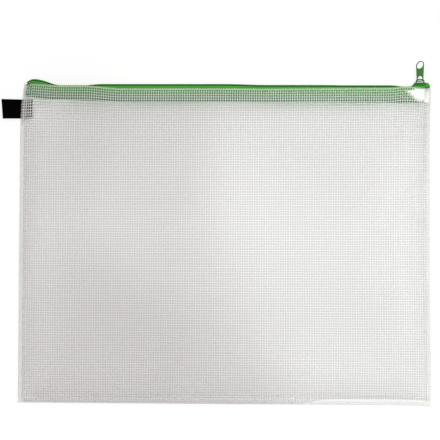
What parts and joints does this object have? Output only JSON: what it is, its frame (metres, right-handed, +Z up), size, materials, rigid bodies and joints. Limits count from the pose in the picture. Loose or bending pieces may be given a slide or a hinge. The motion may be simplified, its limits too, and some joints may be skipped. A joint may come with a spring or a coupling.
{
  "type": "document wallet",
  "caption": "Flat zip-top document wallet of clear net-reinforced film, with a coil zip along its top edge, a metal slider with a loose puller, and a folded ribbon tab.",
  "frame": {"origin": "middle of the back panel's underside, on the surface that the wallet lies on", "axes": "+X along the zip towards its shut end, +Y towards the zip edge, +Z up out of the front panel"},
  "size_m": [0.3656, 0.2924, 0.0107],
  "materials": {
    "net_film": "clear soft vinyl film with a white woven net inside it",
    "zip_tape": "woven polyester tape",
    "zip_coil": "nylon monofilament",
    "slider_enamel": "green enamel on die-cast zinc",
    "puller_enamel": "green enamel on die-cast zinc",
    "ribbon": "plain woven ribbon"
  },
  "bodies": {
    "wallet": {"front_panel": "net_film", "back_panel": "net_film", "front_zip_tape": "zip_tape", "rear_zip_tape": "zip_tape", "front_coil": "zip_coil", "rear_coil": "zip_coil", "ribbon_tab": "ribbon"},
    "slider": {"slider_body": "slider_enamel"},
    "puller": {"puller": "puller_enamel"}
  },
  "joints": [
    {"name": "slider_slide", "type": "slide", "parent": "wallet", "child": "slider", "axis": [1, 0, 0], "range_m": [-0.3, 0], "deforming": ["front_coil", "rear_coil"]},
    {"name": "puller_swing", "type": "hinge", "parent": "slider", "child": "puller", "pos_m": [0.1653, 0.14045, 0.00535], "axis": [0.4192, -0.4192, 0.8053], "range_deg": [0, 102]}
  ]
}
